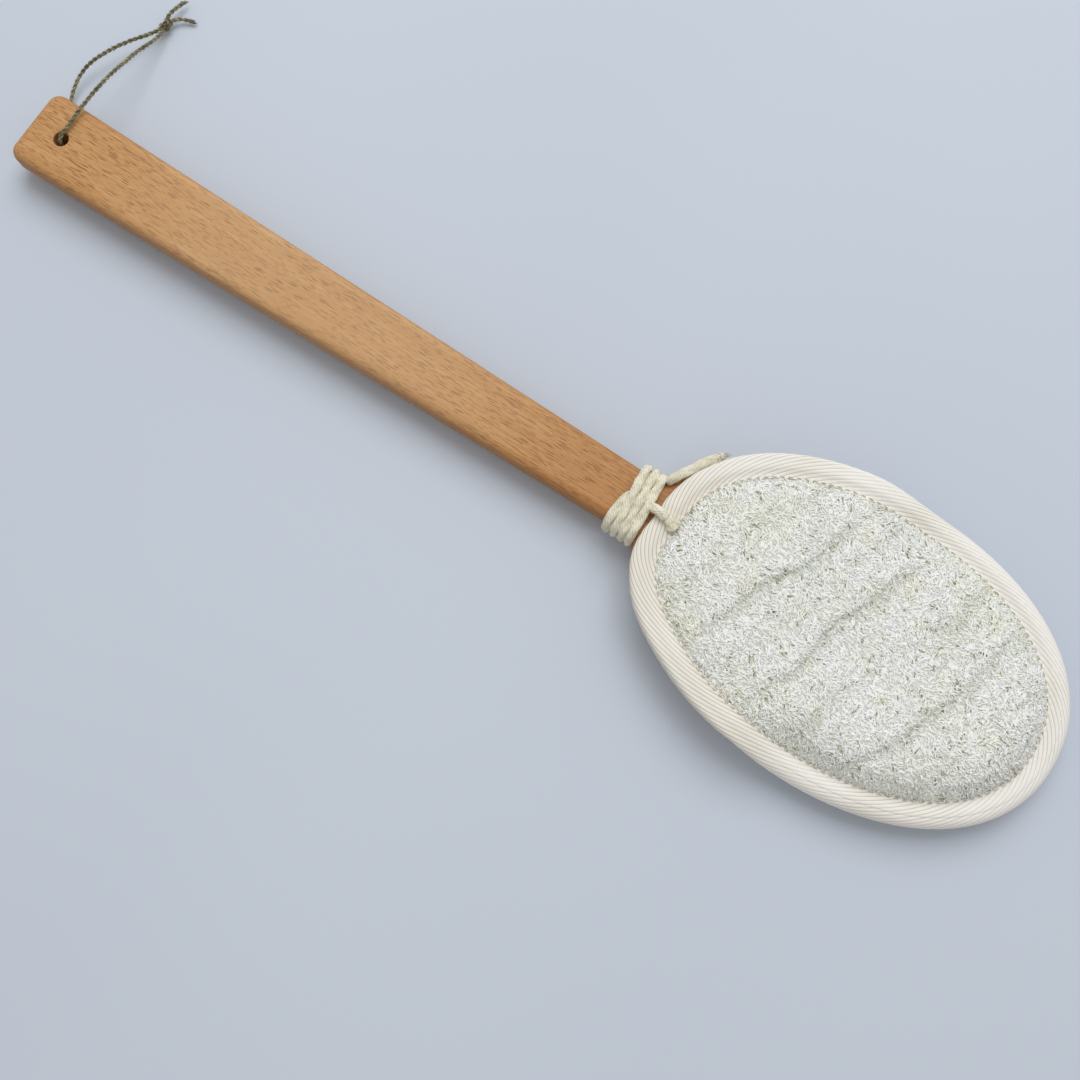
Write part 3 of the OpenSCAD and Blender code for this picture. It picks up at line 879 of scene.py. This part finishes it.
def frayed_end(name, line, width, count, reach, material):
    """Loose fibres that brush out from a cord's last point."""
    end, before = line[-1], line[-5]
    onward = (end - before) / np.linalg.norm(end - before)
    hairs = []
    for _ in range(count):
        root = before + rng.normal(0, 0.19, 3) * width
        tip = end + (onward + rng.normal(0, 0.22, 3)) * reach * rng.uniform(0.4, 1.1)
        hairs.append((root, (root + tip) / 2 + rng.normal(0, 0.06, 3) * reach, tip, brush_r))
    points, faces = hair_mesh(hairs, 0)
    return new_piece(name, points, faces, material, uv=np.zeros((hair_corners * count, 2)))


def plied_cord(name, line, width, plies, pitch, sides, material, hair_count, hair_reach, looped=False):
    """A cord of plies laid round each other along a line, with stray hairs."""
    run = distances(line)
    side, rise = frames_along(line, looped)
    ply_r = width / 2 * (0.5 if plies == 2 else 0.72)
    helix_r = width / 2 - ply_r
    points, faces, uv = [], [], []
    start = 0
    turns = run[-1] / pitch
    if looped:
        turns = round(turns)
    for ply in range(plies):
        phase = 2 * math.pi * (ply / plies + turns * run / run[-1])
        centre = line + helix_r * (np.cos(phase)[:, None] * side + np.sin(phase)[:, None] * rise)
        across, over = frames_along(centre, looped)
        ends = np.ones(len(line))
        if not looped:
            ends = np.clip(np.minimum(run, run[-1] - run) / (0.5 * width), 0.15, 1)
        turn = np.arange(sides) * 2 * math.pi / sides
        ring = (np.cos(turn)[None, :, None] * across[:, None] + np.sin(turn)[None, :, None] * over[:, None])
        tube = centre[:, None] + ply_r * ends[:, None, None] * ring
        quads, corner_rows, corner_columns = grid_faces(len(line), sides, looped, True)
        points.append(tube.reshape(-1, 3))
        faces += (quads + start).tolist()
        run_full = np.append(run, run[-1] + (run[1] if looped else 0))
        uv.append(np.stack([run_full[corner_rows] / MM, corner_columns / sides], -1).reshape(-1, 2))
        if not looped:
            last = start + (len(line) - 1) * sides
            faces += [[start + j for j in range(sides)][::-1], [last + j for j in range(sides)]]
            uv.append(np.zeros((2 * sides, 2)))
        start += len(line) * sides
    hairs = []
    for _ in range(hair_count):
        k = rng.integers(0, len(line))
        turn = rng.uniform(0, 2 * math.pi)
        out = math.cos(turn) * side[k] + math.sin(turn) * rise[k]
        lean = line[min(k + 1, len(line) - 1)] - line[max(k - 1, 0)]
        lean /= np.linalg.norm(lean)
        root = line[k] + out * width * 0.42
        tip = root + out * rng.uniform(0.2, 1) * hair_reach + lean * rng.uniform(-1.2, 1.2) * hair_reach
        middle = (root + tip) / 2 + rng.normal(0, 0.15, 3) * hair_reach + out * 0.1 * hair_reach
        hairs.append((root, middle, tip, stray_r))
    hair_points, hair_faces = hair_mesh(hairs, start)
    points.append(hair_points)
    faces += hair_faces
    uv.append(np.zeros((hair_corners * len(hairs), 2)))
    points = np.concatenate(points)
    points[:, 2] = np.maximum(points[:, 2], 0.03 * MM)
    return new_piece(name, points, faces, material, uv=np.concatenate(uv))


def cord_material(name, stops, yarn_lines, roughness):
    """Yarn drawn along a cord's plies: fine slanted lines with painted shade in their hollows, and colour
    changing from yarn to yarn.
    """
    material = new_material(name, stops[1][1], roughness, Specular_IOR_Level=0.25, Sheen_Weight=0.2)
    surface = node(material, "UVMap", uv_map="surface").outputs["UV"]
    parts = node(material, "SeparateXYZ", wires={"Vector": surface}).outputs
    round_ply = maths(material, "MULTIPLY", parts["Y"], yarn_lines)
    slant = maths(material, "ADD", maths(material, "MULTIPLY", parts["X"], 0.8), round_ply)
    lines = maths(material, "SINE", maths(material, "MULTIPLY", slant, 2 * math.pi))
    height = maths(material, "ADD", maths(material, "MULTIPLY", lines, 0.35), noise(material, 2200, 3))
    # The yarn lines' low places are painted darker, as painted shade
    yarn_groove_shade = maths(material, "MULTIPLY", height, 0.25)
    mixed = maths(material, "ADD", maths(material, "MULTIPLY", noise(material, 420, 3), 0.75), yarn_groove_shade)
    return finish_material(material, ramp(material, mixed, stops), height, 0.15 * MM, 0.9)


cotton_tones = [(0.3, (204, 198, 168)), (0.5, (232, 226, 204)), (0.7, (247, 243, 228))]
cotton = cord_material("cotton_cord", cotton_tones, yarn_lines=6, roughness=0.9)

# The cord is 3 mm thick when drawn tight, and looks fuller where it lies loose. Its route is in mm: the lead
# and the tail are measured from the pad's mouth on the board's top, and each strand from the part's middle.
tie_full = 3.5 * MM
tie_out = 1.75
side_y = neck_w / MM / 2 + tie_out
low_z = board_lo.z / MM - tie_out
high_z = board_hi.z / MM + tie_out
bend_r = edge_r / MM + tie_out
upper_x = [44.9, 48.2, 51.3]
lower_x = [43.3, 46.4, 49.4, 52.3]
last_x = 53.4
slant_x = 0.2
cross_y = 3.2
under_y = 3.5
lead = [(4.8, -1.2, 5.0), (3.2, -0.7, 5.3), (2, -0.3, 5.2), (0, 0, 4.7), (-2, 0.2, 3.0), (-4.6, 0.3, 1.9),
        (-7.8, 0.9, 1.6), (-9.8, 0.6, 1.6), (-11.2, -1.4, 1.65), (-11.9, -4.2, 1.7)]
tail = [(-2.0, 12.2, 0.8), (-0.6, 14.0, 1.9), (0.8, 16.6, 2.0), (3, 20.4, 1.9), (5.6, 24.4, 2.0),
        (8.6, 28.2, 2.2)]
mouth = mouth_x / MM
board_top = board_hi.z / MM
tie_route = [(mouth + x, y, board_top + z) for x, y, z in lead]
flat_y = side_y - bend_r
low_bend = low_z + bend_r
high_bend = high_z - bend_r


def round_edge(x, side, middle_z, turns):
    """Points round one long edge of the neck, at angles from the top."""
    bends = [(bend_r * math.sin(t), bend_r * math.cos(t)) for t in np.radians(turns)]
    return [(x, side * (flat_y + out), middle_z + up) for out, up in bends]


for turn, x in enumerate(lower_x):
    last = turn == len(upper_x)
    after = last_x if last else upper_x[turn]
    if turn:
        before = upper_x[turn - 1]
        tie_route += [(mix(before, x, 0.35), cross_y, high_z + 0.9), (mix(before, x, 0.5), 0, high_z + 1.2),
                      (mix(before, x, 0.65), -cross_y, high_z + 0.5)]
    tie_route.append((x, -flat_y, high_z))
    tie_route += round_edge(x, -1, high_bend, (30, 60))
    tie_route.append((x + slant_x, -side_y, board_mid / MM))
    tie_route += round_edge(x + slant_x, -1, low_bend, (120, 150))
    tie_route += [(mix(x, after, 0.3), -under_y, low_z), (mix(x, after, 0.7), under_y, low_z)]
    tie_route += round_edge(after, 1, low_bend, (150, 120))
    tie_route.append((after, side_y, board_mid / MM))
    if not last:
        tie_route += round_edge(after, 1, high_bend, (60, 30))
        tie_route.append((after, flat_y - 1.5, high_z))
tie_route += [(mouth + x, y, board_top + z) for x, y, z in tail]
tie_line = smooth_route(tie_route, 0.45) * MM
tie = plied_cord("tie_cord", tie_line, tie_full, 3, 28 * MM, 14, cotton, 2600, 0.8 * MM)
tie_brush = frayed_end("tie_frayed_end", tie_line, tie_full, 150, 2.4 * MM, cotton)
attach(tie_brush, "board")
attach(tie, "board")
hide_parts("tie_winding", "tie_lead", "tie_tail")


def overhand(middle, reach, flatness, lean, spacing):
    """A closed overhand knot's line about a middle point."""
    t = np.linspace(0, 2 * math.pi, spacing, endpoint=False)
    x = (np.sin(t) + 2 * np.sin(2 * t)) / 3 * reach[0]
    y = (np.cos(t) - 2 * np.cos(2 * t)) / 3 * reach[1]
    z = -np.sin(3 * t) * flatness
    c, s = math.cos(lean), math.sin(lean)
    return np.column_stack([x * c - y * s, x * s + y * c, z]) + np.array(middle)


knot_lo, knot_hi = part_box("tie_knot")
knot_middle = (knot_lo + knot_hi) / 2
knot_middle.z -= 0.4 * MM
knot_line = overhand(knot_middle, (1.9 * MM, 1.5 * MM), 0.45 * MM, 0.3, 110)
stopper = plied_cord("tie_stopper_knot", knot_line, 2.4 * MM, 3, 11 * MM, 12, cotton, 160, 0.6 * MM,
                     looped=True)
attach(stopper, "cover")
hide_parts("tie_knot")


# ---- Hanging twine --------------------------------------------------------------------------------
# Two-ply waxed jute twine, threaded through the hole and closed in one overhand knot with frayed tails.
# Its route, in mm from the hole's middle on the table, runs from the long tail through the knot, round the
# loop, down and back through the hole, and out of the knot again to the short tail.
jute_tones = [(0.3, (84, 80, 56)), (0.5, (122, 116, 86)), (0.7, (186, 176, 138))]
jute = cord_material("jute_twine", jute_tones, yarn_lines=4, roughness=0.7)
twine_d = 1.5 * MM
knot_tail_long = [(-2.4, 72.6, 2.6), (-3.0, 70.5, 3.0), (-3.4, 68, 3.4), (-3.6, 65, 3.6), (-3.2, 63, 3.4),
                  (-2.6, 61.5, 2.9)]
loop = [(-2.2, 60, 3.2), (-1.4, 57, 4.0), (-1.0, 53, 5.4), (-1.0, 49, 7.2), (-0.8, 45, 9.2),
        (-0.3, 41, 11.2), (0.2, 37, 13.0), (0.5, 32.5, 14.8), (0.6, 28, 16.0), (0.6, 23, 16.7),
        (0.5, 18, 16.9), (0.3, 13, 16.7), (0.2, 8, 16.3), (0.1, 4.5, 16.0), (0, 1.8, 15.7),
        (0, 0, 15.1), (0, -1.0, 13.8), (0.1, -1.2, 12), (0.4, -1.1, 9), (0.8, -0.9, 6),
        (0.7, -0.7, 4.3), (0, 0.1, 2.8), (-1.2, 1.4, 2.1),
        (-3.6, 4.1, 1.9), (-7.5, 8.6, 1.8), (-11.5, 13, 1.8), (-14.6, 17.5, 2.1), (-16, 22, 3.0),
        (-16.4, 27, 4.2), (-15.6, 32, 5.3), (-13.6, 37, 6.0), (-11.0, 42.5, 6.1), (-8.2, 48, 5.5),
        (-5.5, 53, 4.5), (-3.8, 57, 3.5), (-3.2, 60, 3.0)]
knot_tail_short = [(-2.6, 61.5, 2.9), (-2.2, 63, 2.6), (-1.4, 65, 2.4), (0.2, 66.8, 2.0), (2.0, 67.8, 1.5),
                   (4.0, 68.4, 1.1)]
hole_mm = hole_x / MM
twine_route = [(hole_mm + x, y, z) for x, y, z in knot_tail_long + loop + knot_tail_short]
twine_line = smooth_route(twine_route, 0.35) * MM
twine = plied_cord("jute_loop", twine_line, twine_d, 2, 4.2 * MM, 10, jute, 1300, 0.55 * MM)
jute_brushes = [frayed_end("jute_frayed_end_long", twine_line[::-1], twine_d, 30, 1.8 * MM, jute),
                frayed_end("jute_frayed_end_short", twine_line, twine_d, 30, 1.8 * MM, jute)]
for brush in jute_brushes:
    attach(brush, "loop")
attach(twine, "loop")
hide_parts("hanging_loop", "twine_tail_long", "twine_tail_short")
knot_lo, knot_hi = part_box("hanging_knot")
knot_middle = (knot_lo + knot_hi) / 2
knot_line = overhand(knot_middle, (2.1 * MM, 1.6 * MM), 0.9 * MM, 1.1, 120)
twine_knot = plied_cord("jute_knot", knot_line, 1.45 * MM, 2, 3.6 * MM, 10, jute, 120, 0.5 * MM,
                        looped=True)
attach(twine_knot, "loop")
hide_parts("hanging_knot")


# ---- Studio ---------------------------------------------------------------------------------------
# A pale matt table, and a broad window high beyond the scrubber's far side. The room's own light fills the
# shadows, and the camera looks down from almost straight above.
deselect()
bpy.ops.mesh.primitive_plane_add(size=4, location=(0, 0, -0.2 * MM))
table = bpy.context.object
table.name = "table"
paper = new_material("pale_table", (197, 205, 218), 0.6, Specular_IOR_Level=0.3)
finish_material(paper, ramp(paper, noise(paper, 3), [(0.3, (195, 203, 216)), (0.7, (200, 208, 220))]))
table.data.materials.append(paper)

up_way = Vector((-0.5435, 0.8394, 0))
right_way = Vector((0.8394, 0.5435, 0))
camera_place = Vector((64.4, -86.2, 399.1)) * MM
camera_target = Vector((26.1, -27.1, 0)) * MM
bpy.ops.object.camera_add(location=camera_place)
camera = bpy.context.object
back_way = (camera_place - camera_target).normalized()
side_way = up_way.cross(back_way).normalized()
top_way = back_way.cross(side_way)
turned = Matrix((side_way, top_way, back_way)).transposed()
camera.rotation_euler = turned.to_euler()
sensor_w = 36
view_angle = math.radians(50)
camera.data.sensor_width = sensor_w
camera.data.lens = sensor_w / 2 / math.tan(view_angle / 2)
camera.data.clip_start = 10 * MM
bpy.context.scene.camera = camera

window_turn = math.radians(15)
window_rise = math.radians(56)
window_far = 2.0
window_way = (up_way * math.cos(window_turn) + right_way * math.sin(window_turn)).normalized()
window_up = Vector((0, 0, math.sin(window_rise)))
window_place = camera_target + window_far * (window_way * math.cos(window_rise) + window_up)
bpy.ops.object.light_add(type="AREA", location=window_place)
window = bpy.context.object
window.data.shape = "SQUARE"
window.data.size = 1.5
window.data.energy = 24
window.data.color = (0.96, 0.985, 1.0)
window.rotation_euler = (window_place - camera_target).to_track_quat("Z", "Y").to_euler()

world = bpy.data.worlds.new("room")
bpy.context.scene.world = world
world.use_nodes = True
world.node_tree.nodes["Background"].inputs["Color"].default_value = (1.0, 0.98, 0.955, 1)
world.node_tree.nodes["Background"].inputs["Strength"].default_value = 0.53
bpy.context.scene.view_settings.view_transform = "Standard"
